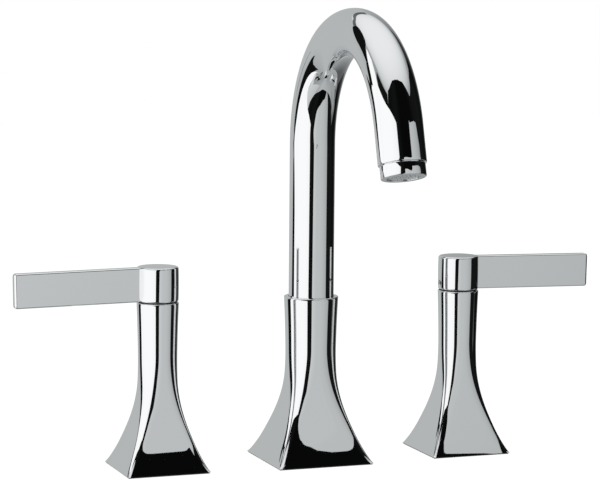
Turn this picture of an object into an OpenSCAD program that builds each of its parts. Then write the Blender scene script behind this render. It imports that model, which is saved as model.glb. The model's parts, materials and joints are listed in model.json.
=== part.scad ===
// Deck-mounted tub filler: a gooseneck spout between a hot and a cold lever handle,
// each on its own flared base that grows from a round neck into a square foot.
// The origin is the centre of the spout's foot on the deck. +X runs along the row
// to the cold handle, the spout pours towards -Y, and +Z is up.

/* [Layout] */
// Distance from the spout's centre to each handle's centre (8 in across the set)
handle_spacing = 101.6; // [95:0.2:150]
// Height of the three flared bases above the deck
base_h = 104.9; // [102:0.1:110]
// Thickness of the soft gasket under each foot
gasket_t = 0.8; // [0.6:0.1:1.2]
// How far the gasket stays inside the foot's edge
gasket_inset = 0.8; // [0.5:0.1:1.5]

/* [Flared bases] */
// Side of a handle base's square foot
handle_foot_w = 53.6; // [50:0.2:58]
// Width of a handle base at its waist
handle_waist_d = 24.3; // [24.2:0.1:27]
// Diameter of a handle base at its top
handle_top_d = 26.4; // [26.2:0.1:29]
// Side of the spout base's square foot
spout_foot_w = 63.5; // [60:0.5:70]
// Width of the spout base at its waist
spout_waist_d = 31.9; // [31.6:0.1:34]
// Diameter of the spout base at its top
spout_top_d = 34.6; // [34.4:0.1:36]
// Height of the waist above the deck
waist_z = 56; // [51:0.5:60]
// Power of the curve by which the foot flares out below the waist
flare_power = 1.94; // [1.6:0.02:2.2]
// Power of the superellipse of the foot's outline: the higher, the sharper its corners
foot_power = 80; // [40:5:120]
// Height above the foot where the section has become fully round
round_z = 72; // [66:1:80]
// Share of the rounding that sets in fast at the foot
soft_share = 0.26; // [0.18:0.01:0.35]
// Height above the foot where the rest of the rounding sets in
ease_from_z = 16; // [10:1:25]
// Wall of a base where its inside follows the flare
base_wall = 2.6; // [2.2:0.1:3]
// Small chamfer round the top of a base
rim_chamfer = 0.7; // [0.2:0.1:0.8]

/* [Gooseneck] */
// Outer diameter of the spout tube (1 1/8 in)
tube_d = 28.6; // [28.2:0.1:28.8]
// Wall of the spout tube
tube_wall = 1.3; // [1:0.1:1.5]
// Height where the straight riser ends and the arch starts
spring_z = 201.6; // [180:1:230]
// Radius of the arch's centre line
arch_r = 72.6; // [62:0.5:85]
// Angle that the arch turns through, in degrees
arch_sweep = 163.5; // [150:0.5:172]
// Straight end of the tube after the arch
tail_l = 22.6; // [18:0.5:30]

/* [Aerator] */
// Outer diameter of the aerator's visible ring
aerator_d = 26.7; // [26.2:0.1:27.4]
// Length of the aerator's visible ring
aerator_l = 8.1; // [6:0.1:10]
// Radius of the aerator's thread (M24)
aerator_thread_r = 11.9; // [11.8:0.05:12]

/* [Handles] */
// Diameter of a handle's hub
hub_d = 26.2; // [26:0.1:27]
// Height of a handle's hub
hub_h = 21.6; // [20:0.1:24]
// Distance from a handle's axis to the tip of its lever
lever_reach = 91.6; // [75:0.2:100]
// Thickness of the flat lever
lever_t = 6; // [5:0.5:7]
// Angle by which the lever falls towards its tip, in degrees
lever_droop = 0.9; // [0:0.1:1.5]
// Corner radius of the lever's end
lever_corner_r = 1.8; // [0.8:0.1:3]
// Height of the grub screw above the hub's lower edge
grub_up = 4; // [3.5:0.1:4.5]

/* [Fits] */
// Radial clearance of a shaft that turns in its bore
fit_gap = 0.05; // [0.02:0.01:0.08]
// Clearance between a piece that turns and a fixed piece beside it
turn_gap = 0.3; // [0.25:0.05:0.35]

/* [Plumbing] */
// Wall radius of a tapped M10 x 1 hose port
port_r = 4.5; // [4.4:0.05:4.6]
// Wall radius of the tapped M8 hole for the fixing stud
stud_r = 3.4; // [3.3:0.05:3.5]
// Depth of a hose port
port_depth = 10; // [8:0.5:11]
// Depth of the stud's hole
stud_depth = 11; // [8:0.5:11]

/* [Hidden] */
$fn = 72;
hot = -1;
cold = 1;

// Handle stack, from the deck up; the drops are counted down from the top of the base
flange_r = 17;
flange_h = 12;
seat_drop = 61.5;
shoulder_drop = 13.5;
neck_drop = 3.5;
stem_drop = 1.5;
column_r = 10.6;
base_bore_r = column_r + turn_gap;
neck_r = 9.4;
cartridge_r = 8;
seat_z = base_h - seat_drop;
shoulder_z = base_h - shoulder_drop;
shoulder_h = 2.5;
nut_z = shoulder_z + shoulder_h;
nut_h = 4;
neck_top_z = base_h - neck_drop;
seal_h = 2;
disc_h = 3;
disc_r = 6.6;
fixed_disc_z = seat_z + seal_h;
turning_disc_z = fixed_disc_z + disc_h + fit_gap;
driver_z = turning_disc_z + disc_h;
driver_h = 5;
cartridge_nut_h = 4;
housing_top_z = neck_top_z - cartridge_nut_h;
stem_r = 4.25;
stem_shoulder_z = base_h - stem_drop;
broach_h = 12;
spline_r = 3.9;
clip_z = neck_top_z + turn_gap;
clip_h = 0.9;
seal_ring_r = 0.7;
stem_seal_up = [14, 22];
stem_seal_z = [for (up = stem_seal_up) driver_z + up];
waterway_x = 4.2;
waterway_r = 1.8;
pocket_r = 2;
port_at = [7, -2];
stud_y = 10.5;

// Turning handle
glide_t = 0.4;
seam_h = glide_t + turn_gap;
hub_z = base_h + seam_h;
hub_top_z = hub_z + hub_h;
hub_r = hub_d/2;
adaptor_r = 6.4;
adaptor_h = 14;
adaptor_top_z = stem_shoulder_z + adaptor_h;
lever_h = hub_h;
tenon_in = 4.5;
grub_r = 2;

// Spout stack, from the deck up; the drops are counted down from the shoulder
spout_flange_r = 22;
spout_flange_h = 16;
spout_shoulder_drop = 39.5;
spigot_drop = 20;
spigot_clip_drop = 14;
spigot_seal_drop = [8, 3];
spigot_flange_h = 2;
plug_h = 13;
passage_r = 6.5;
chamber_floor = 10;
spout_column_r = 13.7;
spout_bore_r = 14;
spout_neck_r = 11.3;
spout_shoulder_z = base_h - spout_shoulder_drop;
spout_shoulder_h = 3;
spout_nut_z = spout_shoulder_z + spout_shoulder_h;
spout_nut_h = 4;
washer_z = spout_nut_z + spout_nut_h;
washer_h = 1.2;
spigot_bore_r = 8;
spigot_r = spigot_bore_r - fit_gap;
spigot_z = spout_shoulder_z - spigot_drop;
spigot_flange_z = washer_z + washer_h + fit_gap;
tube_z = spigot_flange_z + spigot_flange_h;
tube_r = tube_d/2;
tube_in_r = tube_r - tube_wall;
let_in = 1;
let_in_step = 0.1;
tail_in_r = tube_in_r + let_in_step;
tail_out_r = tube_r - let_in_step;
pocket_bore_r = tube_r + turn_gap;
spigot_seal_z = [for (drop = spigot_seal_drop) spout_shoulder_z - drop];
spigot_clip_z = spout_shoulder_z - spigot_clip_drop;
ring_section_r = 0.9;
spout_port_at = [9, -4];
spout_stud_y = 12;
outlet_r = aerator_thread_r - 1.4;
thread_l = 6.5;
aerator_gasket_h = 1.5;
bush_l = 12;
screen_inset = 1.9;

chrome = [0.80, 0.81, 0.83];
brass = [0.78, 0.63, 0.34];
rubber = [0.10, 0.10, 0.11];
ceramic = [0.93, 0.92, 0.88];
steel = [0.62, 0.63, 0.65];
nylon = [0.20, 0.20, 0.21];
white_plastic = [0.86, 0.87, 0.88];

// Half width of a base at height z, for its foot, waist and top half widths
function half_width(z, foot, waist, top) = z < waist_z
    ? waist + (foot - waist)*pow(1 - z/waist_z, flare_power)
    : waist + (top - waist)*pow((z - waist_z)/(base_h - waist_z), 2);

// Ease from 0 to 1, level at both ends
function ease(t) = let (u = min(1, max(0, t))) u*u*(3 - 2*u);

// Power of the superellipse at height z above the foot: its inverse grows from the foot's to a circle's 1/2
function section_power(z) = let (
    soft = soft_share*sin(90*sqrt(min(1, z/round_z)))
        + (1 - soft_share)*ease((z - ease_from_z)/(round_z - ease_from_z)))
    1/(1/foot_power + (1/2 - 1/foot_power)*soft);

// Directions of a section's points, crowded towards its corners
octant_steps = 6;
half_quarter = [for (i = [0:octant_steps]) 45*(1 - pow(1 - i/octant_steps, 1.8))];
directions = [for (k = [0:3]) each concat(
    [for (i = [0:octant_steps]) 90*k + half_quarter[i]],
    [for (i = [octant_steps - 1:-1:1]) 90*k + 90 - half_quarter[i]])];

// One level section of a base: a superellipse of half width w and power p
function section(z, w, p) = [for (a = directions)
    let (r = w/pow(pow(abs(cos(a)), p) + pow(abs(sin(a)), p), 1/p)) [r*cos(a), r*sin(a), z]];

// Outer body of a base, skinned over its level sections
module flared_solid(foot_w, waist_d, top_d) {
    rings = 22;
    n = len(directions);
    skin_h = base_h - rim_chamfer - gasket_t;
    zs = [for (i = [0:rings]) gasket_t + skin_h*i/rings];
    w = [for (z = zs) half_width(z - gasket_t, foot_w/2, waist_d/2, top_d/2)];
    body = [for (i = [0:rings]) each section(zs[i], w[i], section_power(zs[i] - gasket_t))];
    rim_w = top_d/2 - rim_chamfer;
    points = concat(body, section(base_h, rim_w, 2));
    levels = rings + 1;
    sides = [for (j = [0:levels - 1], i = [0:n - 1]) let (m = (i + 1) % n)
        [j*n + i, (j + 1)*n + i, (j + 1)*n + m, j*n + m]];
    polyhedron(points, concat(sides, [[for (i = [0:n - 1]) i]],
        [[for (i = [n - 1:-1:0]) levels*n + i]]), convexity = 4);
}

// Hollow under a base that follows its flare up to a bore of radius r
module flared_hollow(foot_w, waist_d, top_d, r) {
    steps = 8;
    top = waist_z*0.86;
    wall_line = [for (i = [0:steps]) let (z = top*i/steps)
        [max(r, half_width(z, foot_w/2, waist_d/2, top_d/2) - base_wall), gasket_t + z]];
    rotate_extrude() polygon(concat([[0, gasket_t - 1], [wall_line[0][0], gasket_t - 1]],
        wall_line, [[0, gasket_t + top]]));
}

// A ring of radii r_in and r_out from height z up by h
module ring(r_in, r_out, z, h) {
    translate([0, 0, z]) difference() {
        cylinder(r = r_out, h = h);
        translate([0, 0, -1]) cylinder(r = r_in, h = h + 2);
    }
}

// A soft ring of section radius s that touches a groove floor of radius r
module o_ring(r, s, z) {
    translate([0, 0, z]) rotate_extrude() translate([r + s, 0]) circle(r = s, $fn = 32);
}

// Puts a handle's pieces on their axis; the hot side is the cold side's mirror image
module on_handle(side) {
    translate([side*handle_spacing, 0, 0]) mirror([side == hot ? 1 : 0, 0, 0]) children();
}

// Puts the aerator's pieces on the tube's end, with +Z out of the mouth
module at_outlet() {
    translate([0,
               -arch_r*(1 - cos(arch_sweep)) - tail_l*sin(arch_sweep),
               spring_z + arch_r*sin(arch_sweep) + tail_l*cos(arch_sweep)])
        rotate([arch_sweep, 0, 0]) children();
}

module handle_base(side) {
    color(chrome) on_handle(side) difference() {
        flared_solid(handle_foot_w, handle_waist_d, handle_top_d);
        flared_hollow(handle_foot_w, handle_waist_d, handle_top_d, base_bore_r);
        cylinder(r = base_bore_r, h = shoulder_z);
        cylinder(r = neck_r + turn_gap, h = base_h + 1);
        translate([0, 0, nut_z]) cylinder(r = base_bore_r + 0.5, h = base_h);
    }
}

// A square gasket of side w round an opening of radius r
module square_gasket(w, r) {
    difference() {
        translate([-w/2, -w/2, 0]) cube([w, w, gasket_t]);
        translate([0, 0, -1]) cylinder(r = r, h = gasket_t + 2);
    }
}

module handle_gasket(side) {
    color(rubber) on_handle(side)
        square_gasket(handle_foot_w - 2*gasket_inset, flange_r + 1);
}

module valve_body(side) {
    color(brass) on_handle(side) difference() {
        union() {
            cylinder(r = flange_r, h = flange_h);
            cylinder(r = column_r, h = shoulder_z);
            cylinder(r = neck_r, h = neck_top_z);
        }
        translate([0, 0, seat_z]) cylinder(r = cartridge_r, h = base_h);
        for (s = [-1, 1]) {
            translate([s*port_at[0], port_at[1], -1]) cylinder(r = port_r, h = port_depth + 1);
            translate([s*waterway_x, 0, port_depth - 1]) cylinder(r = waterway_r, h = seat_z);
        }
        translate([0, stud_y, -1]) cylinder(r = stud_r, h = stud_depth + 1);
    }
}

module base_nut(side) {
    color(brass) on_handle(side) difference() {
        ring(neck_r + fit_gap, base_bore_r + 0.3, nut_z, nut_h);
        for (a = [0, 90]) rotate([0, 0, a])
            translate([-15, -1.25, nut_z + nut_h - 1.5]) cube([30, 2.5, 2]);
    }
}

// Two holes for the water, side by side
module water_holes(r, z, h) {
    for (s = [-1, 1]) translate([s*waterway_x, 0, z]) cylinder(r = r, h = h, $fn = 32);
}

module seat_seal(side) {
    color(rubber) on_handle(side) difference() {
        translate([0, 0, seat_z]) cylinder(r = cartridge_r - 0.2, h = seal_h);
        water_holes(waterway_r, seat_z - 1, seal_h + 2);
    }
}

module fixed_disc(side) {
    color(ceramic) on_handle(side) difference() {
        translate([0, 0, fixed_disc_z]) cylinder(r = disc_r, h = disc_h);
        water_holes(waterway_r, fixed_disc_z - 1, disc_h + 2);
    }
}

// The pocket lies across the water holes when the valve is shut
module turning_disc(side) {
    color(ceramic) on_handle(side) difference() {
        translate([0, 0, turning_disc_z]) cylinder(r = disc_r - fit_gap, h = disc_h);
        translate([0, 0, turning_disc_z - 1]) {
            for (s = [-1, 1]) translate([0, s*4, 0]) cylinder(r = pocket_r, h = 2.5);
            translate([-pocket_r, -4, 0]) cube([2*pocket_r, 8, 2.5]);
        }
    }
}

module cartridge_housing(side) {
    color(brass) on_handle(side) difference() {
        translate([0, 0, fixed_disc_z])
            cylinder(r = cartridge_r - fit_gap, h = housing_top_z - fixed_disc_z);
        translate([0, 0, fixed_disc_z - 1])
            cylinder(r = disc_r + fit_gap, h = driver_z + driver_h + 1.3 - fixed_disc_z);
        translate([0, 0, fixed_disc_z]) cylinder(r = stem_r + fit_gap, h = base_h);
    }
}

module cartridge_nut(side) {
    color(steel) on_handle(side) difference() {
        ring(stem_r + turn_gap, cartridge_r - fit_gap, housing_top_z,
             neck_top_z - housing_top_z);
        translate([-15, -1, neck_top_z - 1.5]) cube([30, 2, 2]);
    }
}

// Toothed outline of the broach on the stem
module spline_outline(r) {
    teeth = 20;
    polygon([for (i = [0:2*teeth - 1]) let (a = 180*i/teeth, q = r - (i % 2)*0.45)
        [q*cos(a), q*sin(a)]]);
}

module stem(side) {
    color(brass) on_handle(side) difference() {
        union() {
            translate([0, 0, driver_z]) cylinder(r = disc_r - fit_gap, h = driver_h);
            translate([0, 0, driver_z]) cylinder(r = stem_r, h = stem_shoulder_z - driver_z);
            translate([0, 0, stem_shoulder_z - 1]) linear_extrude(broach_h + 1)
                spline_outline(spline_r);
        }
        for (z = stem_seal_z)
            ring(stem_r - 2*seal_ring_r + fit_gap, stem_r + 1,
                 z - seal_ring_r - 0.1, 2*seal_ring_r + 0.2);
        ring(stem_r - 0.75, stem_r + 1, clip_z, clip_h);
        translate([0, 0, stem_shoulder_z + broach_h - 10]) cylinder(r = grub_r, h = 11);
    }
}

module stem_seals(side) {
    color(rubber) on_handle(side) for (z = stem_seal_z)
        o_ring(stem_r - 2*seal_ring_r + fit_gap, seal_ring_r, z);
}

module stem_clip(side) {
    color(steel) on_handle(side) difference() {
        ring(stem_r - 0.75, stem_r + 1.9, clip_z, clip_h);
        translate([0, -1.6, clip_z - 1]) cube([10, 3.2, 3]);
    }
}

module glide_ring(side) {
    color(nylon) on_handle(side) ring(base_bore_r - 1, handle_top_d/2 - 0.9, base_h, glide_t);
}

module adaptor(side) {
    color(white_plastic) on_handle(side) difference() {
        translate([0, 0, stem_shoulder_z]) cylinder(r = adaptor_r, h = adaptor_h);
        translate([0, 0, stem_shoulder_z - 1]) cylinder(r = spline_r + fit_gap, h = broach_h + 1);
        translate([0, 0, stem_shoulder_z]) cylinder(r = grub_r + 0.1, h = adaptor_h + 1);
    }
}

module stem_screw(side) {
    color(steel) on_handle(side) difference() {
        union() {
            translate([0, 0, adaptor_top_z]) cylinder(r = 3.5, h = 2.6);
            translate([0, 0, adaptor_top_z - 9]) cylinder(r = grub_r - 0.02, h = 9.5);
        }
        translate([0, 0, adaptor_top_z + 1]) cylinder(r = 1.73, h = 3, $fn = 6);
    }
}

// The straight-sided solid of the hub, chamfered below and rounded at the top edge
module hub_solid() {
    edge = 1.2;
    rotate_extrude() polygon(concat(
        [[0, hub_z], [hub_r - 0.4, hub_z], [hub_r, hub_z + 0.4]],
        [for (i = [0:6]) [hub_r - edge*(1 - cos(15*i)), hub_top_z - edge*(1 - sin(15*i))]],
        [[0, hub_top_z]]));
}

// The tongue that holds the lever in the hub
module tenon(gap) {
    translate([hub_r - tenon_in - gap, -lever_t/2 + 1 - gap, hub_z + 4 - gap])
        cube([tenon_in + 1.5 + gap, lever_t - 2 + 2*gap, hub_h - 8 + 2*gap]);
}

module hub(side) {
    color(chrome) on_handle(side) difference() {
        hub_solid();
        translate([0, 0, hub_z - 1]) cylinder(r = adaptor_r + fit_gap, h = adaptor_top_z - hub_z + 1);
        cylinder(r = 4, h = adaptor_top_z + 4);
        translate([0, 0, hub_z + grub_up]) rotate([0, -90, 0])
            cylinder(r = grub_r, h = hub_r + 1, $fn = 36);
        tenon(0);
    }
}

module lever(side) {
    x0 = 6;
    r = lever_corner_r;
    color(chrome) on_handle(side) {
        difference() {
            translate([0, 0, hub_z + hub_h/2]) rotate([0, lever_droop, 0])
                rotate([90, 0, 0]) translate([0, 0, -lever_t/2]) linear_extrude(lever_t) union() {
                    translate([x0, -lever_h/2]) square([lever_reach - r - x0, lever_h]);
                    translate([x0, r - lever_h/2]) square([lever_reach - x0, lever_h - 2*r]);
                    for (s = [-1, 1]) translate([lever_reach - r, s*(lever_h/2 - r)])
                        circle(r = r, $fn = 32);
                }
            cylinder(r = hub_r, h = 2*hub_top_z);
        }
        tenon(0);
    }
}

module grub_screw(side) {
    length = hub_r - adaptor_r - 1;
    color(steel) on_handle(side) translate([-adaptor_r, 0, hub_z + grub_up])
        rotate([0, -90, 0]) difference() {
            cylinder(r = grub_r - 0.02, h = length, $fn = 36);
            translate([0, 0, length - 2]) cylinder(r = 1.15, h = 3, $fn = 6);
        }
}

module spout_base() {
    color(chrome) difference() {
        flared_solid(spout_foot_w, spout_waist_d, spout_top_d);
        flared_hollow(spout_foot_w, spout_waist_d, spout_top_d, spout_bore_r);
        cylinder(r = spout_bore_r, h = spout_shoulder_z);
        cylinder(r = spout_neck_r + turn_gap, h = base_h + 1);
        translate([0, 0, spout_nut_z]) cylinder(r = pocket_bore_r, h = base_h);
    }
}

module spout_foot_gasket() {
    color(rubber) square_gasket(spout_foot_w - 2*gasket_inset, spout_flange_r + 1);
}

module spout_body() {
    color(brass) difference() {
        union() {
            cylinder(r = spout_flange_r, h = spout_flange_h);
            cylinder(r = spout_column_r, h = spout_shoulder_z);
            cylinder(r = spout_neck_r, h = washer_z);
        }
        translate([0, 0, spigot_z - 1]) cylinder(r = spigot_bore_r, h = base_h);
        translate([0, 0, spout_flange_h + chamber_floor]) cylinder(r = passage_r, h = base_h);
        for (s = [-1, 1]) {
            translate([s*spout_port_at[0], spout_port_at[1], -1])
                cylinder(r = port_r, h = port_depth + 1);
            translate([s*waterway_x, -1.5, port_depth - 1]) cylinder(r = 2.6, h = spout_flange_h + 6);
        }
        translate([0, spout_stud_y, -1]) cylinder(r = stud_r, h = stud_depth + 1);
        translate([0, 0, spigot_clip_z]) cylinder(r = spigot_bore_r + 0.8, h = 1.2);
    }
}

module spout_base_nut() {
    color(brass) difference() {
        ring(spout_neck_r + fit_gap, spout_bore_r - 0.1, spout_nut_z, spout_nut_h);
        for (a = [0, 90]) rotate([0, 0, a])
            translate([-spout_flange_r, -1.5, spout_nut_z + spout_nut_h - 1.5])
                cube([2*spout_flange_r, 3, 2]);
    }
}

module swivel_washer() {
    color(white_plastic) ring(spigot_bore_r + turn_gap, spout_bore_r - 0.2, washer_z, washer_h);
}

module spigot_clip() {
    color(steel) difference() {
        ring(spigot_r - 0.9, spigot_bore_r + 0.8, spigot_clip_z, 1.2);
        translate([0, -1.6, spigot_clip_z - 1]) cube([spigot_bore_r + 4, 3.2, 4]);
    }
}

module spigot() {
    groove_r = spigot_r - 2*ring_section_r + fit_gap;
    color(brass) difference() {
        union() {
            translate([0, 0, spigot_z]) cylinder(r = spigot_r, h = tube_z - spigot_z);
            translate([0, 0, spigot_flange_z]) cylinder(r = tube_r, h = tube_z - spigot_flange_z);
            translate([0, 0, tube_z - 1]) cylinder(r = tube_in_r - fit_gap, h = plug_h + 1);
        }
        translate([0, 0, spigot_z - 1]) cylinder(r = 5, h = base_h);
        for (z = spigot_seal_z)
            ring(groove_r, spigot_r + 1, z - ring_section_r - 0.15, 2*ring_section_r + 0.3);
        ring(spigot_r - 1.05, spigot_r + 1, spigot_clip_z - 0.15, 1.5);
    }
}

module spigot_seals() {
    color(rubber) for (z = spigot_seal_z)
        o_ring(spigot_r - 2*ring_section_r + fit_gap, ring_section_r - 0.02, z);
}

// Riser and arch filled to radius r, both from their common face, run past their far ends by over
module riser_and_arch(r, over) {
    translate([0, 0, spring_z]) {
        rotate([180, 0, 0]) cylinder(r = r, h = spring_z - tube_z + over);
        translate([0, -arch_r, 0]) rotate([90, 0, 90])
            rotate_extrude(angle = arch_sweep + over) translate([arch_r, 0]) circle(r = r);
    }
}

// The straight end is let into the arch's wall, a little thinner than the wall
module spout_tube() {
    color(chrome) {
        difference() {
            riser_and_arch(tube_r, 0);
            riser_and_arch(tube_in_r, 1);
        }
        at_outlet() ring(tail_in_r, tail_out_r, -tail_l - let_in, tail_l + let_in);
    }
}

module outlet_bush() {
    color(brass) at_outlet() ring(aerator_thread_r + fit_gap, tail_in_r - 0.02, -bush_l, bush_l);
}

module aerator_gasket() {
    color(rubber) at_outlet() ring(outlet_r - 1.3, aerator_thread_r - 0.1,
                                           -thread_l - aerator_gasket_h, aerator_gasket_h);
}

module aerator_shell() {
    color(chrome) at_outlet() difference() {
        union() {
            rotate_extrude() polygon([[0, 0], [aerator_d/2, 0], [aerator_d/2, aerator_l - 0.5],
                [aerator_d/2 - 0.5, aerator_l], [0, aerator_l]]);
            translate([0, 0, -thread_l]) cylinder(r = aerator_thread_r, h = thread_l + 0.5);
        }
        translate([0, 0, -thread_l - 1]) cylinder(r = outlet_r, h = aerator_l + thread_l + 0.5);
        cylinder(r = outlet_r - 0.6, h = aerator_l + 1);
    }
}

// Holes in rings round the middle of a disc
module hole_rings(count, pitch, r, h) {
    for (k = [0:count], i = [0:max(0, 6*k - 1)])
        rotate([0, 0, i*360/max(1, 6*k)]) translate([k*pitch, 0, 0]) cylinder(r = r, h = h, $fn = 16);
}

module aerator_insert() {
    color(white_plastic) at_outlet() difference() {
        translate([0, 0, -thread_l])
            cylinder(r = outlet_r - fit_gap, h = thread_l + aerator_l - screen_inset);
        translate([0, 0, -2]) cylinder(r = outlet_r - 1.5, h = 20);
        translate([0, 0, -8]) hole_rings(2, 3.4, 0.9, 8);
    }
}

module aerator_screen() {
    color(steel) at_outlet() difference() {
        translate([0, 0, aerator_l - screen_inset]) cylinder(r = outlet_r - fit_gap, h = 1.3);
        translate([0, 0, aerator_l - 3]) hole_rings(4, 2.3, 0.5, 3);
    }
}

handle_base(hot);  // hot_base
handle_gasket(hot);  // hot_foot_gasket
valve_body(hot);  // hot_valve_body
base_nut(hot);  // hot_base_nut
seat_seal(hot);  // hot_seat_seal
fixed_disc(hot);  // hot_fixed_disc
turning_disc(hot);  // hot_turning_disc
cartridge_housing(hot);  // hot_cartridge_housing
cartridge_nut(hot);  // hot_cartridge_nut
stem(hot);  // hot_stem
stem_seals(hot);  // hot_stem_seals
stem_clip(hot);  // hot_stem_clip
glide_ring(hot);  // hot_glide_ring
adaptor(hot);  // hot_adaptor
stem_screw(hot);  // hot_stem_screw
hub(hot);  // hot_hub
lever(hot);  // hot_lever
grub_screw(hot);  // hot_grub_screw
handle_base(cold);  // cold_base
handle_gasket(cold);  // cold_foot_gasket
valve_body(cold);  // cold_valve_body
base_nut(cold);  // cold_base_nut
seat_seal(cold);  // cold_seat_seal
fixed_disc(cold);  // cold_fixed_disc
turning_disc(cold);  // cold_turning_disc
cartridge_housing(cold);  // cold_cartridge_housing
cartridge_nut(cold);  // cold_cartridge_nut
stem(cold);  // cold_stem
stem_seals(cold);  // cold_stem_seals
stem_clip(cold);  // cold_stem_clip
glide_ring(cold);  // cold_glide_ring
adaptor(cold);  // cold_adaptor
stem_screw(cold);  // cold_stem_screw
hub(cold);  // cold_hub
lever(cold);  // cold_lever
grub_screw(cold);  // cold_grub_screw
spout_base();
spout_foot_gasket();
spout_body();
spout_base_nut();
swivel_washer();
spigot_clip();
spigot();
spigot_seals();
spout_tube();
outlet_bush();
aerator_gasket();
aerator_shell();
aerator_insert();
aerator_screen();
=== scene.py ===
"""Dresses the deck-mounted tub filler: polished surfaces over the CAD solids, a plain pale studio, and the
photograph's viewpoint. The pieces' sizes are in millimetres, as on the drawing, and become metres when a
mesh is made. The studio's are in metres."""

import json
import math

import bmesh
import bpy
import numpy as np
from mathutils import Matrix, Vector


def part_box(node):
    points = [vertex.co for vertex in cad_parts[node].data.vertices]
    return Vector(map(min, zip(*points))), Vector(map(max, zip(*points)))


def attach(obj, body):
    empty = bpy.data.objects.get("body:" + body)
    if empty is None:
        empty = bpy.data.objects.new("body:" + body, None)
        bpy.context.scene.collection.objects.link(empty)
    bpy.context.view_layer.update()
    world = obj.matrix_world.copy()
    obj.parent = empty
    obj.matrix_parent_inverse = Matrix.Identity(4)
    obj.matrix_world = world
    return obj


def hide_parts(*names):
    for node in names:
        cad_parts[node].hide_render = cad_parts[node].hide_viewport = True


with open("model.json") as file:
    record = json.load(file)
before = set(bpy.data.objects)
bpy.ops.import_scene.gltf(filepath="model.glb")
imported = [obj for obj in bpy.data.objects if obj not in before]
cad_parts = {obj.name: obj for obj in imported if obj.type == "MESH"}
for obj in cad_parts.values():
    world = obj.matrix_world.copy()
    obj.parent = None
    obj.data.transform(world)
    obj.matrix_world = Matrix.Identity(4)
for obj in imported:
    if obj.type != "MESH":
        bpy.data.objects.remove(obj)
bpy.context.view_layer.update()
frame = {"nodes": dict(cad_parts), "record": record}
MM = 0.001

# Driving sizes, as the part's source has them. The handles stand at -HANDLE_X and HANDLE_X, the spout at 0
HANDLE_X = round(sum(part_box("cold_base")[k].x for k in (0, 1)) / 2 / MM, 3)

# A base: its height, the gasket under its foot, the height of its waist, the power of its flare, the
# rounding of its rim, and its wall
BASE_H, GASKET_T, WAIST_Z, FLARE_POWER, RIM, BASE_WALL = 104.9, 0.8, 56.0, 1.94, 0.7, 2.6
# Width of the foot, and diameters of the waist and the top
HANDLE_FLARE = (53.6, 24.3, 26.4)
SPOUT_FLARE = (63.5, 31.9, 34.6)
# A base's sections: the foot's power, the height at which they are round, the share of the change that
# comes early, and the height from which the rest comes
FOOT_POWER, ROUND_Z, EARLY_SHARE, EASE_FROM_Z = 80.0, 72.0, 0.26, 16.0
# Inside a base, from the rim down to its hollow: radius and height
HANDLE_INSIDE = [(11.4, BASE_H), (11.4, BASE_H - 11), (9.7, BASE_H - 11), (9.7, BASE_H - 13.5),
                 (10.9, BASE_H - 13.5), (10.9, 47.0)]
SPOUT_INSIDE = [(14.6, BASE_H), (14.6, BASE_H - 36.5), (11.6, BASE_H - 36.5), (11.6, BASE_H - 39.5),
                (14.0, BASE_H - 39.5), (14.0, 47.0)]
HOLLOW_H = 44.0

# The gooseneck: its radius, its bore's, its lower end, the springing of its arch, the arch's radius and
# sweep, the straight tail, and the rounding of its mouth
TUBE_R, TUBE_IN_R, TUBE_Z = 14.3, 13.0, 75.65
SPRING_Z, ARCH_R, ARCH_SWEEP, TAIL = 201.6, 72.6, math.radians(163.5), 22.6
MOUTH_EDGE = 0.3
AERATOR_R, AERATOR_L, OUTLET_R = 13.35, 8.1, 10.5

# A hub: its radius, lower face and height, its lower and upper rounding, and how far its side falls in
# from mid height to an end
HUB_R, HUB_Z, HUB_H = 13.1, 105.6, 21.6
HUB_LOW_EDGE, HUB_TOP_EDGE, HUB_BARREL = 0.9, 1.3, 0.15
# The grub screw's hole: radius, height up the hub and depth, and the width and depth of its eased edge.
# Round it is a window in the hub's rows: its lower and upper edge, and the least gap to the next row
GRUB_R, GRUB_UP, GRUB_DEPTH, GRUB_EDGE, GRUB_EDGE_DEPTH = 2.0, 4.0, 3.0, 0.25, 0.45
WINDOW_LOW, WINDOW_TOP, WINDOW_GAP = 1.0, 7.3, 0.3

# A lever: where it starts and ends, its thickness, height and droop, the rounding along its edges, and the
# rounding of its thickness and of its height at the tip
LEVER_ROOT, LEVER_REACH, LEVER_T, LEVER_H = 9.0, 91.6, 6.0, 21.6
LEVER_DROOP, LEVER_EDGE, LEVER_TIP, LEVER_CORNER = math.radians(0.9), 1.2, 1.6, 1.8

# The camera of the photograph, in millimetres, degrees and pixels of a 600 x 491 picture
CAMERA_TURN, CAMERA_AWAY, CAMERA_UP = 20.422, 1582.95, 321.34
CAMERA_YAW, CAMERA_PITCH, CAMERA_ROLL = -0.265, 6.648, 0.488
FOCAL_PX, PICTURE_W, SENSOR_W = 2516.4, 600, 36


# ---------------------------------------------------------------- meshes

SHARP_ANGLE = math.radians(40)


def new_mesh(name, points, faces):
    """Turns points in millimetres and faces of point numbers into an object in metres, shaded smooth but
    for the edges sharper than SHARP_ANGLE."""
    mesh = bpy.data.meshes.new(name)
    mesh.from_pydata((np.asarray(points, float) * MM).tolist(), [], faces)
    mesh.update()
    mesh.validate()
    mesh.shade_smooth()
    mesh.set_sharp_from_angle(angle=SHARP_ANGLE)
    piece = bpy.data.objects.new(name, mesh)
    bpy.context.scene.collection.objects.link(piece)
    return piece


def weld(piece, within=1e-6):
    """Merges points that lie within a thousandth of a millimetre and turns every face of the closed piece
    outwards."""
    bm = bmesh.new()
    bm.from_mesh(piece.data)
    bmesh.ops.remove_doubles(bm, verts=bm.verts, dist=within)
    bmesh.ops.recalc_face_normals(bm, faces=bm.faces)
    bm.to_mesh(piece.data)
    bm.free()
    piece.data.set_sharp_from_angle(angle=SHARP_ANGLE)


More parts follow.
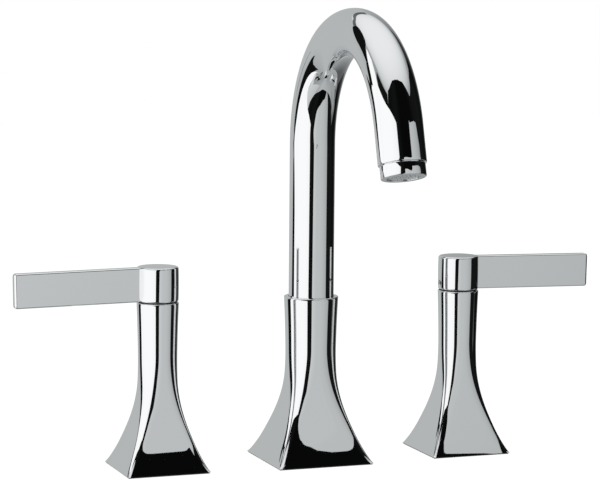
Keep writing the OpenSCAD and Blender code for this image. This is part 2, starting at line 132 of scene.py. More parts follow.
def points_of(x, y, z):
    """Points with coordinates x, y and z, each stretched to the shape that all three share."""
    return np.stack(np.broadcast_arrays(x, y, z), -1)


def strip_faces(rows, columns, first=0, wrap_rows=False):
    """Quads between neighbouring loops of a grid: point (i, j) is number first + i * columns + j, each
    loop closes on itself, and with wrap_rows the last loop joins the first."""
    i = np.arange(rows if wrap_rows else rows - 1)[:, None]
    j = np.arange(columns)
    i2, j2 = (i + 1) % rows, (j + 1) % columns
    quads = np.stack([i * columns + j, i * columns + j2, i2 * columns + j2, i2 * columns + j], -1)
    return quads.reshape(-1, 4) + first


def end_faces(rows, columns):
    """The flat faces that close a stack of loops at its first and at its last loop."""
    return [list(range(columns - 1, -1, -1)), list(range((rows - 1) * columns, rows * columns))]


def skin(name, loops, ring=False):
    """Skins a stack of closed loops, an array of loops x points x 3 that runs anticlockwise seen from the
    end the stack grows to. A ring's last loop joins its first. Otherwise a flat face closes each end."""
    rows, columns = loops.shape[:2]
    faces = strip_faces(rows, columns, wrap_rows=ring).tolist()
    if not ring:
        faces += end_faces(rows, columns)
    return new_mesh(name, loops.reshape(-1, 3), faces)


def whole_turn(steps):
    """Even angles round a circle, the last one short of the first."""
    return np.linspace(0, 2 * np.pi, steps, endpoint=False)


def lathe(profile, turns=128):
    """Turns a profile of (radius, height) points about the Z axis: x = r cos t, y = r sin t, z = height."""
    r, z = np.asarray(profile, float).T[:, :, None]
    t = whole_turn(turns)
    return points_of(r * np.cos(t), r * np.sin(t), z)


def arc(centre, radius, start, end, steps):
    """Points on a circle from one angle to the other, in degrees: centre + radius (cos a, sin a)."""
    a = np.radians(np.linspace(start, end, steps + 1))
    return np.stack([centre[0] + radius * np.cos(a), centre[1] + radius * np.sin(a)], -1)


def placed(points, matrix):
    """Moves points by a 4 x 4 matrix: its turn times the point, plus its shift."""
    m = np.array(matrix)
    return points @ m[:3, :3].T + m[:3, 3]


def on_handle(points, side):
    """Mirrors points to a handle's side, -1 or 1, and moves them to it: x becomes side (x + HANDLE_X)."""
    return points * (side, 1, 1) + (side * HANDLE_X, 0, 0)


# ---------------------------------------------------------------- flared bases


def half_width(z, flare):
    """Half width of a base at height z: below the waist it grows with the power of the depth below the
    waist, and above it with the square of the height above it."""
    foot, waist, top = np.array(flare) / 2
    below = waist + (foot - waist) * np.clip(1 - z / WAIST_Z, 0, 1) ** FLARE_POWER
    above = waist + (top - waist) * np.clip((z - WAIST_Z) / (BASE_H - WAIST_Z), 0, 1) ** 2
    return np.where(z < WAIST_Z, below, above)


def section_power(z):
    """Power of the superellipse at height z: its inverse grows from the foot's to a circle's 1/2. A share of
    the change goes by sin(90 sqrt(z / ROUND_Z)) and the rest by u u (3 - 2 u), where u runs from 0 to 1
    between EASE_FROM_Z and ROUND_Z."""
    u = np.clip((z - EASE_FROM_Z) / (ROUND_Z - EASE_FROM_Z), 0, 1)
    early = np.sin(np.pi / 2 * np.sqrt(np.minimum(1, z / ROUND_Z)))
    change = EARLY_SHARE * early + (1 - EARLY_SHARE) * u * u * (3 - 2 * u)
    return 1 / (1 / FOOT_POWER + (0.5 - 1 / FOOT_POWER) * change)


def base_angles(per_octant=30, crowding=2.2):
    """Polar angles of a base's loops, crowded towards the corners: each eighth of the circle holds
    45 (1 - (1 - u)^crowding) degrees for even u, and the next eighth its mirror image."""
    u = np.linspace(0, 1, per_octant + 1)
    octant = 45 * (1 - (1 - u) ** crowding)
    quarter = np.concatenate([octant, 90 - octant[-2:0:-1]])
    return np.radians(np.add.outer([0, 90, 180, 270], quarter).ravel())


def superellipse(w, power, angle):
    """Distance from the centre to a superellipse's edge: w / (|cos a|^p + |sin a|^p)^(1/p)."""
    p = power[:, None]
    return w[:, None] / (np.abs(np.cos(angle)) ** p + np.abs(np.sin(angle)) ** p) ** (1 / p)


def with_hollow(inside, flare, steps=12):
    """Adds to a base's inside the hollow under it, a wall's thickness inside the flare."""
    z = np.linspace(HOLLOW_H, 0, steps)
    r = np.maximum(inside[-1][0], half_width(z, flare) - BASE_WALL)
    return np.concatenate([inside, np.stack([r, z + GASKET_T], -1)])


def flared_base(name, flare, inside, x, levels=150):
    """A base as a closed shell round x: outer loops from the foot to the rim by half_width and
    section_power, a quarter-round rim, then the round loops of its inside back down to the foot."""
    angle = base_angles()
    z = np.linspace(0, BASE_H - GASKET_T - RIM, levels)
    rim = arc((flare[2] / 2 - RIM, BASE_H - RIM), RIM, 12, 90, 6)
    turned = np.concatenate([rim, with_hollow(inside, flare)])
    reach = np.concatenate([superellipse(half_width(z, flare), section_power(z), angle),
                            np.repeat(turned[:, :1], len(angle), 1)])
    height = np.concatenate([z + GASKET_T, turned[:, 1]])[:, None]
    return skin(name, points_of(x + reach * np.cos(angle), reach * np.sin(angle), height), ring=True)


# ---------------------------------------------------------------- gooseneck


def gooseneck_line(rise_steps=24, arch_steps=170, tail_steps=14):
    """The gooseneck's centre line, and how far it has turned over: straight up to the springing, round an
    arch by y = -R (1 - cos a), z = springing + R sin a, then straight on."""
    rise = np.linspace(TUBE_Z, SPRING_Z, rise_steps, endpoint=False)
    a = np.linspace(0, ARCH_SWEEP, arch_steps)
    t = np.linspace(0, TAIL, tail_steps + 1)[1:]
    turn = np.concatenate([0 * rise, a, np.full(tail_steps, ARCH_SWEEP)])
    y = np.concatenate([0 * rise, -ARCH_R * (1 - np.cos(a)),
                        -ARCH_R * (1 - math.cos(ARCH_SWEEP)) - t * math.sin(ARCH_SWEEP)])
    z = np.concatenate([rise, SPRING_Z + ARCH_R * np.sin(a),
                        SPRING_Z + ARCH_R * math.sin(ARCH_SWEEP) + t * math.cos(ARCH_SWEEP)])
    return y, z, turn


def swept_tube(name, turns=112):
    """The hollow gooseneck: at each step a circle of the tube's radius stands square to the centre line, by
    centre + r (cos t X + sin t N). At the mouth the circles follow a quarter round, and the bore's circles
    run back to the lower end."""
    y, z, turn = gooseneck_line()
    steps = len(y)
    ease = arc((TUBE_R - MOUTH_EDGE, -MOUTH_EDGE), MOUTH_EDGE, 0, 90, 4)
    order = np.concatenate([np.arange(steps - 1), np.full(len(ease), steps - 1), np.arange(steps)[::-1]])
    radius = np.concatenate([np.full(steps - 1, TUBE_R), ease[:, 0], np.full(steps, TUBE_IN_R)])[:, None]
    along = np.concatenate([np.zeros(steps - 1), ease[:, 1], np.zeros(steps)])[:, None]
    y, z, turn = y[order, None], z[order, None], turn[order, None]
    t = whole_turn(turns)
    out = radius * np.sin(t)
    return skin(name, points_of(radius * np.cos(t),
                                y - along * np.sin(turn) + out * np.cos(turn),
                                z + along * np.cos(turn) + out * np.sin(turn)), ring=True)


def outlet_frame():
    """Matrix of the tube's mouth: its Z axis runs out of the mouth along the tail."""
    y, z, _ = gooseneck_line()
    return Matrix.Translation((0, y[-1], z[-1])) @ Matrix.Rotation(ARCH_SWEEP, 4, "X")


def aerator_ring(name):
    """The aerator's ring: a lathe profile with a thin collar against the tube's end, a groove, eased edges,
    and a lip turned in at the mouth."""
    seat, groove_end, groove_r = 0.02, 0.5, AERATOR_R - 0.8
    upper_edge, lower_edge = 0.3, 0.5
    lip_r, lip_z, lip_edge = OUTLET_R - 0.6, AERATOR_L - 0.5, 0.25
    profile = np.concatenate([
        [(AERATOR_R - 0.1, seat), (AERATOR_R - 0.15, 0.06), (groove_r, 0.08), (groove_r, groove_end)],
        arc((AERATOR_R - upper_edge, groove_end + upper_edge), upper_edge, -90, 0, 4),
        arc((AERATOR_R - lower_edge, AERATOR_L - lower_edge), lower_edge, 0, 90, 6),
        arc((lip_r + lip_edge, AERATOR_L - lip_edge), lip_edge, 90, 180, 4),
        [(lip_r, lip_z), (OUTLET_R, lip_z), (OUTLET_R, seat)]])
    return skin(name, placed(lathe(profile), outlet_frame()), ring=True)


# ---------------------------------------------------------------- handles


def hub_profile(rows=25):
    """A hub's side in three lines of (radius, height): its rounded lower edge, its barrel, whose radius
    falls off with the square of the distance from mid height, and its rounded top edge."""
    z = np.linspace(HUB_LOW_EDGE, HUB_H - HUB_TOP_EDGE, rows)
    r = HUB_R - HUB_BARREL * ((z - HUB_H / 2) / (HUB_H / 2)) ** 2
    low = arc((r[0] - HUB_LOW_EDGE, HUB_LOW_EDGE), HUB_LOW_EDGE, -90, 0, 6)
    high = arc((r[-1] - HUB_TOP_EDGE, HUB_H - HUB_TOP_EDGE), HUB_TOP_EDGE, 0, 90, 9)
    return low, np.stack([r, z], -1), high


def window_edge(first, rows, middle, half):
    """Rows and columns of the grid points round a window: up from row first by rows, and half the columns
    to each side of the middle one, starting along its lower edge."""
    across, up = np.arange(-half, half), np.arange(rows)
    row = np.concatenate([0 * across, up, rows + 0 * across, rows - up])
    column = np.concatenate([across, half + 0 * up, -across, 0 * up - half])
    return first + row, middle + column


def grub_hole(edge, barrel, steps=6):
    """Loops that close a window in a hub's side round the grub screw's hole. They pass from the window's
    edge to a circle by (1 - t) edge + t circle in the view square to the hole, each point lying on the
    barrel by x = -sqrt(r^2 - y^2), and then go down the hole."""
    flat = np.stack([-edge[:, 1], edge[:, 2] - GRUB_UP], -1)
    bearing = np.arctan2(flat[:, 1], flat[:, 0])
    circle = np.stack([np.cos(bearing), np.sin(bearing)], -1)
    t = np.linspace(0, 1, steps + 1)[1:, None, None]
    across, up = np.moveaxis((1 - t) * flat + t * (GRUB_R + GRUB_EDGE) * circle, -1, 0)
    shell = np.interp(up + GRUB_UP, barrel[:, 1], barrel[:, 0])
    patch = points_of(-np.sqrt(shell ** 2 - across ** 2), -across, up + GRUB_UP)
    wall_x = np.array([[GRUB_EDGE_DEPTH], [GRUB_DEPTH]]) - HUB_R
    wall = points_of(wall_x, -GRUB_R * circle[:, 0], GRUB_R * circle[:, 1] + GRUB_UP)
    return np.concatenate([edge[None], patch, wall])


def hub(name, side, turns=120, window_rows=8, window_half=5):
    """A hub: a lathe surface with rings inside its flat ends, a window left in its side, low on the barrel,
    and in the window the grub screw's hole."""
    low_ring, high_rings = [(3.0, 0.0)], [(9.0, HUB_H), (4.0, HUB_H)]
    low, barrel, high = hub_profile()
    above = barrel[barrel[:, 1] > WINDOW_TOP + WINDOW_GAP]
    window_z = np.linspace(WINDOW_LOW, WINDOW_TOP, window_rows + 1)
    window = np.stack([np.interp(window_z, barrel[:, 1], barrel[:, 0]), window_z], -1)
    profile = np.concatenate([low_ring, low[:-1], window, above, high[1:], high_rings])
    loops = lathe(profile, turns)
    rows, first, middle = len(profile), len(low), turns // 2

    quads = strip_faces(rows, turns)
    row, column = np.divmod(quads[:, 0], turns)
    in_window = ((row >= first) & (row < first + window_rows)
                 & (column >= middle - window_half) & (column < middle + window_half))
    hole = grub_hole(loops[window_edge(first, window_rows, middle, window_half)], barrel)
    start, around_hole = rows * turns, hole.shape[1]
    inner = strip_faces(len(hole), around_hole, first=start).tolist()
    bottom = list(range(start + (len(hole) - 1) * around_hole, start + len(hole) * around_hole))
    points = np.concatenate([loops.reshape(-1, 3), hole.reshape(-1, 3)]) + (0, 0, HUB_Z)
    piece = new_mesh(name, on_handle(points, side),
                     quads[~in_window].tolist() + end_faces(rows, turns) + inner + [bottom])
    weld(piece)
    return piece


def lever(name, side, blade_steps=40, tip_steps=12, corner_steps=8):
    """A lever: a stack of rounded rectangles along x, each with quarter-circle corners of the edge's radius.
    Near the tip at L the thickness and the height are drawn in by r - sqrt(r^2 - (x - L + r)^2) per side,
    each with its own r."""
    tip = np.radians(np.linspace(0, 90, tip_steps))
    x = np.concatenate([np.linspace(LEVER_ROOT, LEVER_REACH - LEVER_CORNER, blade_steps)[:-1],
                        LEVER_REACH - LEVER_CORNER * (1 - np.sin(tip))])[:, None]

    def drawn_in(r):
        return r - np.sqrt(r ** 2 - np.clip(x - LEVER_REACH + r, 0, r) ** 2)

    quarter = np.repeat(np.arange(4), corner_steps)
    b = np.radians(90 * quarter + np.tile(np.linspace(0, 90, corner_steps), 4))
    y = np.where(quarter % 3 == 0, 1, -1) * (LEVER_T / 2 - drawn_in(LEVER_TIP) - LEVER_EDGE)
    z = np.where(quarter < 2, 1, -1) * (LEVER_H / 2 - drawn_in(LEVER_CORNER) - LEVER_EDGE)
    loops = points_of(x, y + LEVER_EDGE * np.cos(b), z + LEVER_EDGE * np.sin(b))
    droop = Matrix.Translation((0, 0, HUB_Z + HUB_H / 2)) @ Matrix.Rotation(LEVER_DROOP, 4, "Y")
    piece = skin(name, on_handle(placed(loops, droop), side))
    weld(piece)
    return piece


# ---------------------------------------------------------------- materials


def set_inputs(node, **values):
    """Sets inputs of a node by their names, with an underscore for a space."""
    for label, value in values.items():
        node.inputs[label.replace("_", " ")].default_value = value
    return node


def add_node(tree, kind, **values):
    """Adds a shader node of a kind to a tree, with values for its inputs."""
    return set_inputs(tree.nodes.new("ShaderNode" + kind), **values)


def add_group(tree, group, **values):
    """Places a node group in a tree, with its own values."""
    node = tree.nodes.new("ShaderNodeGroup")
    node.node_tree = group
    return set_inputs(node, **values)


def add_mix(tree, first, second):
    """Adds a node that mixes two colours by its Factor."""
    mix = tree.nodes.new("ShaderNodeMix")
    mix.data_type = "RGBA"
    return set_inputs(mix, A=(*first, 1), B=(*second, 1))


def wire(tree, *links):
    """Links a tree's nodes. Each link is a node and its output, then a node and its input."""
    for source, output, target, entry in links:
        tree.links.new(source.outputs[output], target.inputs[entry])


def shader_group(name, inputs, outputs):
    """An empty node group with named float inputs and outputs, and its two end nodes."""
    group = bpy.data.node_groups.new(name, "ShaderNodeTree")
    for label, value in inputs.items():
        group.interface.new_socket(label, in_out="INPUT", socket_type="NodeSocketFloat").default_value = value
    for label in outputs:
        group.interface.new_socket(label, in_out="OUTPUT", socket_type="NodeSocketFloat")
    return group, group.nodes.new("NodeGroupInput"), group.nodes.new("NodeGroupOutput")


def make_polish_group():
    """Polish: the roughness goes between clean and hazy with a fine noise, and the height is the slow
    unevenness left by a polishing wheel, a low noise plus a trace of orange peel."""
    group, given, result = shader_group(
        "polish", {"Clean": 0.02, "Hazy": 0.05, "Wave Size": 60.0, "Peel": 0.02}, ["Roughness", "Height"])
    place = add_node(group, "TexCoord")
    haze = add_node(group, "TexNoise", Scale=35, Detail=6)
    wave = add_node(group, "TexNoise", Detail=0.5)
    peel = add_node(group, "TexNoise", Scale=900, Detail=2)
    span = add_node(group, "MapRange", From_Min=0.35, From_Max=0.75)
    add = add_node(group, "Math")
    add.operation = "MULTIPLY_ADD"
    wire(group,
         *((place, "Object", noise, "Vector") for noise in (haze, wave, peel)),
         (given, "Wave Size", wave, "Scale"), (haze, "Fac", span, "Value"),
         (given, "Clean", span, "To Min"), (given, "Hazy", span, "To Max"),
         (peel, "Fac", add, 0), (given, "Peel", add, 1), (wave, "Fac", add, 2),
         (span, "Result", result, "Roughness"), (add, 0, result, "Height"))
    return group


def make_grain_group():
    """Grain: turning marks are rings about the Z axis, a wave of the height, and mottle is a soft noise."""
    group, given, result = shader_group(
        "grain", {"Mark Scale": 900.0, "Mottle Scale": 80.0}, ["Marks", "Mottle"])
    place = add_node(group, "TexCoord")
    marks = add_node(group, "TexWave", Distortion=0.6, Detail=2)
    marks.bands_direction = "Z"
    mottle = add_node(group, "TexNoise", Detail=4)
    wire(group,
         (place, "Object", marks, "Vector"), (place, "Object", mottle, "Vector"),
         (given, "Mark Scale", marks, "Scale"), (given, "Mottle Scale", mottle, "Scale"),
         (marks, "Fac", result, "Marks"), (mottle, "Fac", result, "Mottle"))
    return group


POLISH = make_polish_group()
GRAIN = make_grain_group()


def new_material(name, color, **settings):
    """A material with one Principled BSDF, its plain settings on the shader's own sockets."""
    material = bpy.data.materials.new(name)
    material.use_nodes = True
    material.diffuse_color = (*color, 1)
    shader = material.node_tree.nodes["Principled BSDF"]
    set_inputs(shader, Base_Color=(*color, 1), **settings)
    return material, material.node_tree, shader


def add_bump(tree, shader, source, output, strength, depth):
    """Feeds a node's output to the shader's normal through a bump of the given depth in metres."""
    bump = add_node(tree, "Bump", Strength=strength, Distance=depth)
    wire(tree, (source, output, bump, "Height"), (bump, "Normal", shader, "Normal"))


def polished(name, color, clean, hazy, wave_size, depth):
    """Polished plate: metal whose roughness and slow waviness come from the polish group."""
    material, tree, shader = new_material(name, color, Metallic=1.0)
    polish = add_group(tree, POLISH, Clean=clean, Hazy=hazy, Wave_Size=wave_size)
    wire(tree, (polish, "Roughness", shader, "Roughness"))
    add_bump(tree, shader, polish, "Height", 1.0, depth)
    return material


def grained(name, dark, light, rough, depth, mark_scale=None):
    """Turned metal where a scale of its turning marks is given, otherwise a moulded or lapped stuff. Colour
    and roughness are mottled between two values each, and the bump is of the marks or the mottle."""
    turned = mark_scale is not None
    material, tree, shader = new_material(name, light, Metallic=1.0 if turned else 0.0)
    grain = add_group(tree, GRAIN)
    if turned:
        set_inputs(grain, Mark_Scale=mark_scale)
    rough_map = add_node(tree, "MapRange", To_Min=rough[0], To_Max=rough[1])
    mix = add_mix(tree, dark, light)
    wire(tree,
         (grain, "Mottle", mix, "Factor"), (mix, "Result", shader, "Base Color"),
         (grain, "Mottle", rough_map, "Value"), (rough_map, "Result", shader, "Roughness"))
    add_bump(tree, shader, grain, "Marks" if turned else "Mottle", 0.4, depth)
    return material


# The finish of each material slot. Grained ones: darker and lighter shade, the two roughnesses, the depth
# of the bump in metres, and for metals the scale of the turning marks
FINISHES = {
    "chrome": polished("chrome_plate", (0.88, 0.885, 0.895), clean=0.01, hazy=0.025, wave_size=24,
                       depth=0.000012),
    "brass": grained("turned_brass", (0.60, 0.44, 0.20), (0.78, 0.60, 0.31), (0.22, 0.38), 0.00003, 900),
    "steel": grained("stainless_steel", (0.82, 0.83, 0.84), (0.90, 0.90, 0.91), (0.25, 0.4), 0.00002, 1200),
    "rubber": grained("black_rubber", (0.012, 0.012, 0.013), (0.03, 0.03, 0.031), (0.55, 0.75), 0.00008),
    "dark_nylon": grained("dark_nylon", (0.015, 0.015, 0.016), (0.03, 0.03, 0.031), (0.4, 0.55), 0.00004),
    "ceramic": grained("lapped_ceramic", (0.86, 0.85, 0.80), (0.92, 0.91, 0.87), (0.12, 0.2), 0.00001),
    "white_plastic": grained("white_plastic", (0.76, 0.77, 0.78), (0.84, 0.85, 0.86), (0.35, 0.5), 0.00003),
}


# ---------------------------------------------------------------- the object


def finish_in(piece, slot):
    """Gives a piece the finish of one of the record's material slots."""
    piece.data.materials.clear()
    piece.data.materials.append(FINISHES[slot])


def dress(piece, body, node):
    """Lets a chromed surface stand for a CAD node and move with its body."""
    finish_in(piece, "chrome")
    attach(piece, body)
    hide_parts(node)


for label, side in (("hot", -1), ("cold", 1)):
    handle = label + "_handle"
    dress(flared_base(label + "_base_skin", HANDLE_FLARE, HANDLE_INSIDE, side * HANDLE_X), "root",
          label + "_base")
    dress(hub(label + "_hub_skin", side), handle, label + "_hub")
    dress(lever(label + "_lever_skin", side), handle, label + "_lever")

dress(flared_base("spout_base_skin", SPOUT_FLARE, SPOUT_INSIDE, 0), "root", "spout_base")
dress(swept_tube("spout_tube_skin"), "spout", "spout_tube")
dress(aerator_ring("aerator_ring_skin"), "spout", "aerator_shell")

# The CAD nodes that still show are the solids themselves
NODE_SLOT = {row["node"]: row["material_slot"] for row in frame["record"]["subparts"]}
for name, node in frame["nodes"].items():
    if not node.hide_render:
        finish_in(node, NODE_SLOT[name])


# ---------------------------------------------------------------- camera


def add_camera():
    """The photograph's viewpoint: the place from turn, distance and height, the aim from yaw and pitch,
    and the lens from the focal length in pixels on the sensor."""
    turn, yaw = math.radians(CAMERA_TURN), math.radians(CAMERA_YAW)
    pitch, roll = math.radians(CAMERA_PITCH), math.radians(CAMERA_ROLL)
    face = turn + yaw
    ahead = Vector((math.sin(face) * math.cos(pitch), math.cos(face) * math.cos(pitch), -math.sin(pitch)))
    level = Vector((math.cos(face), -math.sin(face), 0))
    over = level.cross(ahead)
    right = math.cos(roll) * level + math.sin(roll) * over
    up = math.cos(roll) * over - math.sin(roll) * level
    data = bpy.data.cameras.new("camera")
    data.sensor_width = SENSOR_W
    data.lens = FOCAL_PX / PICTURE_W * SENSOR_W
    data.clip_start, data.clip_end = 0.05, 50
    camera = bpy.data.objects.new("camera", data)
    bpy.context.scene.collection.objects.link(camera)
    axes = Matrix((right, up, -ahead)).transposed().to_4x4()
    place = Vector((-CAMERA_AWAY * math.sin(turn), -CAMERA_AWAY * math.cos(turn), CAMERA_UP)) * MM
    camera.matrix_world = Matrix.Translation(place) @ axes
    bpy.context.scene.camera = camera


# ---------------------------------------------------------------- studio

# Cards that stand round the set and are seen in the metal alone: name, distance from the set's middle in
# metres, the share of its light it loses per metre below EYE_UP, and along the card its bearing in degrees
# to the camera's right of the line to the camera, the elevations of its lower and upper edge seen from
# EYE_UP, and how light the metal shows it, out of 100. The last card is the backdrop, all the way round
EYE_UP = 0.25
CARDS = [
    ("white_left", 0.692, 0.01, [(-112.5, -6.2, 2.5, 98), (-106, -7.8, 6.5, 98), (-101, -10.5, 8.5, 98),
        (-99.5, -11.5, 22, 98), (-98, -13, 33.5, 98), (-97, -34, 33.5, 99), (-87.3, -73.8, 32.6, 97),
        (-75.5, -37.3, 22.1, 98), (-33.5, -33.7, 23.2, 98), (-24, -31, 22.4, 97), (-16, -28, 20.6, 96),
        (-13, -12, 19.8, 95), (-10, 5, 19.2, 95), (-8, 17, 18.9, 94)]),
    ("grey_right", 0.761, 0.02, [(3.5, -25, -21, 79), (5, -32, -17, 79), (7, -42, -11, 79), (8.5, -45, -8, 78),
        (10.3, -47, -4, 78), (12, -48, 17.7, 77), (21, -52, 17.4, 75), (27, -53.5, 16.2, 74),
        (33, -55.5, 14.8, 74), (37, -56.5, 14.2, 74), (41, -57.5, 15, 74), (43, -58, 17.5, 74),
        (44, -58.3, 19.5, 73), (45.4, -58.5, 20.6, 73), (47.5, -58.2, 19.8, 73), (55.6, -58, 18.9, 72),
        (66, -63, 17.4, 69), (72.5, -68, 16, 67), (76, -58, 15.2, 65), (78.5, -25, 14.2, 64),
        (79.5, -9, 13.9, 62), (82, 0, 12.8, 60), (85.5, 7, 11.4, 60)]),
    ("grey_corner", 0.77, 0, [(8.8, 3, 6, 76), (9.8, -1, 11, 76), (10.8, -4, 17.5, 77), (12.3, -6, 17.8, 77)]),
    ("black_front", 1.139, 0, [(-46.4, -42.5, 12.1, 14), (-37.6, -55.8, 38.4, 6), (-31.6, -60.7, 42, 5),
        (-8.8, -69.4, 54.9, 7), (10.7, -74, 57.8, 3), (30.4, -74.3, 57.5, 3), (56.7, -70.5, 51.2, 3),
        (76.3, -63, 33.2, 7), (105.7, -22.3, 34, 8), (133.4, -34.5, 26.1, 4), (153.9, -22.6, 31.7, 25)]),
    ("black_strip", 0.759, 0, [(-81, -1.6, 19.7, 49), (-74.8, 10, 32.9, 9), (-38.4, 4.3, 33.1, 6)]),
    ("flag_line", 0.81, 0, [(-131, -6.2, -2.5, 6), (-127, -6.4, -0.5, 6), (-120, -7, 1, 6), (-116, -7.5, 4, 6),
        (-112, -8, 9, 6), (-108, -9, 14, 6), (-104, -9, 17, 6), (-101, -9, 19, 6)]),
    ("flag_high", 0.8, 0, [(-126, 33, 41, 6), (-122.3, 27, 43, 6), (-117.4, 18, 44, 6), (-112, 16, 44, 6),
        (-108, 14, 43, 6), (-104, 13, 42, 6), (-101, 13, 38, 6)]),
    ("flag_low", 0.8, 0, [(-119, -23.5, -19.5, 6), (-116, -25, -17, 6), (-113, -27, -9, 6), (-108, -33, -8, 6),
        (-103, -44, -8, 6), (-100.5, -55, -8, 6), (-98.7, -50, -8, 6), (-96, -44, -8, 6)]),
    ("low_left", 1.176, 0.02, [(-83.4, -56.9, -35.1, 86), (-70.5, -51.1, -19, 80), (-38, -73.1, -13.7, 74)]),
    ("back_white", 2.9, 0, [(149.2, -10.1, 8, 99), (163.5, -4.7, 5, 99), (173.6, -0.3, 2.4, 98)]),
    ("right_low", 0.873, 0, [(100.8, -56.3, -27.9, 49), (106, -24.2, -17.7, 35), (120.2, -33.8, -22.9, 55)]),
    ("back_right", 1.536, 0.18, [(117.8, -67.7, 24, 66), (123.8, -34.9, 29.9, 35), (148.1, -55.7, 31.1, 39),
        (178.4, -68.7, 36.2, 66)]),
    ("rim_line", 1.37, 0, [(-180.4, 34.3, 40.2, 33), (-143.8, 39.5, 42.9, 42), (-106.1, 22.8, 34, 25)]),
    ("backdrop", 3, 0, [(-180, -60, 60, 69), (-128.7, -60, 60, 71), (-80.5, -60, 60, 58), (-3, -60, 60, 70),
        (70.9, -60, 60, 67), (113.3, -60, 60, 60), (180, -60, 60, 67)]),
]
# The softbox overhead: height, centre and radius in metres, its lightness in the middle and at the rim,
# and the power by which it falls off
SOFTBOX = (2.44, -0.19, 0.6, 3.86, 91, 36, 2.8)
# How much of a card's light the plate gives back, how deep below EYE_UP a card's light stops falling off,
# the bearings between a card's columns, and the bearings of a whole ring
PLATE_SHINE, FADE_DEPTH, CARD_STEP = 0.885, 1.2, 1.5
RING_BEARINGS = np.linspace(-180, 180, 121)


def emission_for(lightness):
    """How strongly a card glows so that the plate shows it at a display lightness out of 100: the display's
    curve is c / 12.92 for the darkest and ((c + 0.055) / 1.055)^2.4 above, over the plate's shine."""
    c = np.asarray(lightness, float) / 100
    return np.where(c <= 0.04045, c / 12.92, ((c + 0.055) / 1.055) ** 2.4) / PLATE_SHINE


def make_card_material():
    """One material for every card: its brightness is the card's own attribute, and the greys are a
    little cooler than the whites."""
    material = bpy.data.materials.new("card_glow")
    material.use_nodes = True
    tree = material.node_tree
    tree.nodes.clear()
    level = add_node(tree, "Attribute")
    level.attribute_name = "glow"
    span = add_node(tree, "MapRange", From_Min=0.6, From_Max=1.0)
    shade = add_mix(tree, (0.96, 1, 1.004), (1, 1, 1))
    glow = add_node(tree, "Emission")
    out = add_node(tree, "OutputMaterial")
    wire(tree,
         (level, "Fac", span, "Value"), (span, "Result", shade, "Factor"), (shade, "Result", glow, "Color"),
         (level, "Fac", glow, "Strength"), (glow, "Emission", out, "Surface"))
    material.cycles.emission_sampling = "NONE"
    return material


CARD_GLOW = make_card_material()


def stand_card(name, points, glow):
    """Makes a card of a grid of points in metres, rows x columns x 3, with a brightness at each point."""
    rows, columns = points.shape[:2]
    corner = np.add.outer(np.arange(rows - 1) * columns, np.arange(columns - 1)).ravel()
    quads = np.stack([corner, corner + 1, corner + columns + 1, corner + columns], -1)
    stand = new_mesh(name, points.reshape(-1, 3) / MM, quads.tolist())
    values = stand.data.attributes.new("glow", "FLOAT", "POINT")
    values.data.foreach_set("value", np.ascontiguousarray(glow, np.float32).ravel())
    stand.data.materials.append(CARD_GLOW)
    for way in ("camera", "diffuse", "transmission", "shadow", "volume_scatter"):
        setattr(stand, "visible_" + way, False)


def around(bearing, away):
    """Level place at a bearing from the set's middle: away (cos b, sin b), where b is the bearing less a
    right angle and the camera's turn."""
    b = np.radians(bearing - 90 - CAMERA_TURN)
    return away * np.cos(b), away * np.sin(b)


def height_at(elevation, away):
    """Height seen from EYE_UP at an elevation in degrees: EYE_UP + away tan(elevation)."""
    return EYE_UP + away * np.tan(np.radians(elevation))


def dimmed(height, fade):
    """Share of a card's light left at a height: 1 - fade times the depth below EYE_UP, to FADE_DEPTH."""
    return 1 - fade * np.clip(EYE_UP - height, 0, FADE_DEPTH)


def card(name, away, fade, knots, rows=9):
    """A curved card: a strip of the cylinder of radius away. Its edges' heights and its brightness run
    straight between the knots, and the brightness is dimmed below EYE_UP."""
    at, low, high, light = np.array(knots, float).T
    bearing = np.unique(np.concatenate([at, np.arange(at[0], at[-1], CARD_STEP)]))
    bottom = np.interp(bearing, at, height_at(low, away))
    top = np.interp(bearing, at, height_at(high, away))
    height = bottom + (top - bottom) * np.linspace(0, 1, rows)[:, None]
    stand_card(name, points_of(*around(bearing, away), height),
               np.interp(bearing, at, emission_for(light)) * dimmed(height, fade))


def backdrop_floor(name, away, fade, knots, rows=9):
    """Closes the backdrop below: a level disc at the backdrop's lower edge, as light as the edge above it."""
    at, low, _, light = np.array(knots, float).T
    points = points_of(*around(RING_BEARINGS, np.linspace(0.01, 1, rows)[:, None] * away),
                       height_at(low[0], away))
    stand_card(name, points,
               np.interp(RING_BEARINGS, at, emission_for(light)) * dimmed(points[..., 2], fade))


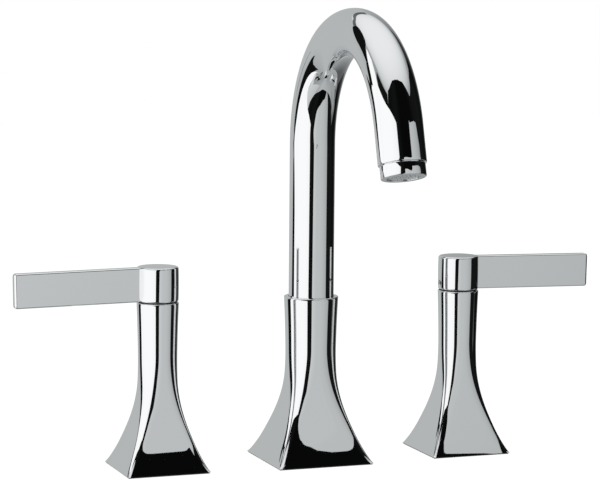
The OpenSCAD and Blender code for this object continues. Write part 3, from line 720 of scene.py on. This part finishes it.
def softbox(name, height, x, y, radius, middle, rim, power, rows=33):
    """A round softbox overhead: its brightness is middle + (rim - middle) q^p at the share q of its radius."""
    q = np.linspace(0.002, 1, rows)[:, None]
    u, v = around(RING_BEARINGS, q * radius)
    inner, outer = emission_for(middle), emission_for(rim)
    glow = inner + (outer - inner) * q ** power
    stand_card(name, points_of(x + u, y + v, height), np.broadcast_to(glow, u.shape))


def add_floor(reach=3000, brightness=1.06, glow_share=0.9):
    """A white floor that keeps the set's soft shadow and stays out of the metal: to the camera a share of
    it is a white glow and the rest is lit."""
    floor = new_mesh("floor", [(-reach, -reach, 0), (reach, -reach, 0), (reach, reach, 0), (-reach, reach, 0)],
                     [(0, 1, 2, 3)])
    material, tree, shader = new_material("pale_floor", (0.9, 0.9, 0.9), Roughness=0.9)
    path = add_node(tree, "LightPath")
    glow = add_node(tree, "Emission", Strength=brightness)
    mix = add_node(tree, "MixShader")
    share = add_node(tree, "Math")
    share.operation = "MULTIPLY"
    share.inputs[1].default_value = glow_share
    wire(tree,
         (path, "Is Camera Ray", share, 0), (share, 0, mix, "Fac"), (shader, "BSDF", mix, 1),
         (glow, "Emission", mix, 2), (mix, "Shader", tree.nodes["Material Output"], "Surface"))
    floor.data.materials.append(material)
    floor.visible_glossy = False


def add_world():
    """White all round: behind the set, in the metal past the cards, and as plain soft light."""
    world = bpy.data.worlds.new("studio")
    world.use_nodes = True
    bpy.context.scene.world = world
    set_inputs(world.node_tree.nodes["Background"], Color=(1, 1, 1, 1), Strength=1.0)


def add_lamp(name, size, power, place, aim):
    """A square softbox at a place in metres, turned to face its aim."""
    data = bpy.data.lights.new(name, "AREA")
    data.size, data.energy = size, power
    lamp = bpy.data.objects.new(name, data)
    bpy.context.scene.collection.objects.link(lamp)
    turn = (Vector(aim) - Vector(place)).to_track_quat("-Z", "Y").to_matrix().to_4x4()
    lamp.matrix_world = Matrix.Translation(place) @ turn
    lamp.visible_glossy = False


add_floor()
add_world()
add_lamp("overhead_lamp", size=1.6, power=12, place=(0.3, -0.4, 1.9), aim=(0, 0, 0))
for row in CARDS:
    card(*row)
backdrop_floor("backdrop_floor", *CARDS[-1][1:])
softbox("softbox", *SOFTBOX)
add_camera()
bpy.context.scene.view_settings.view_transform = "Standard"
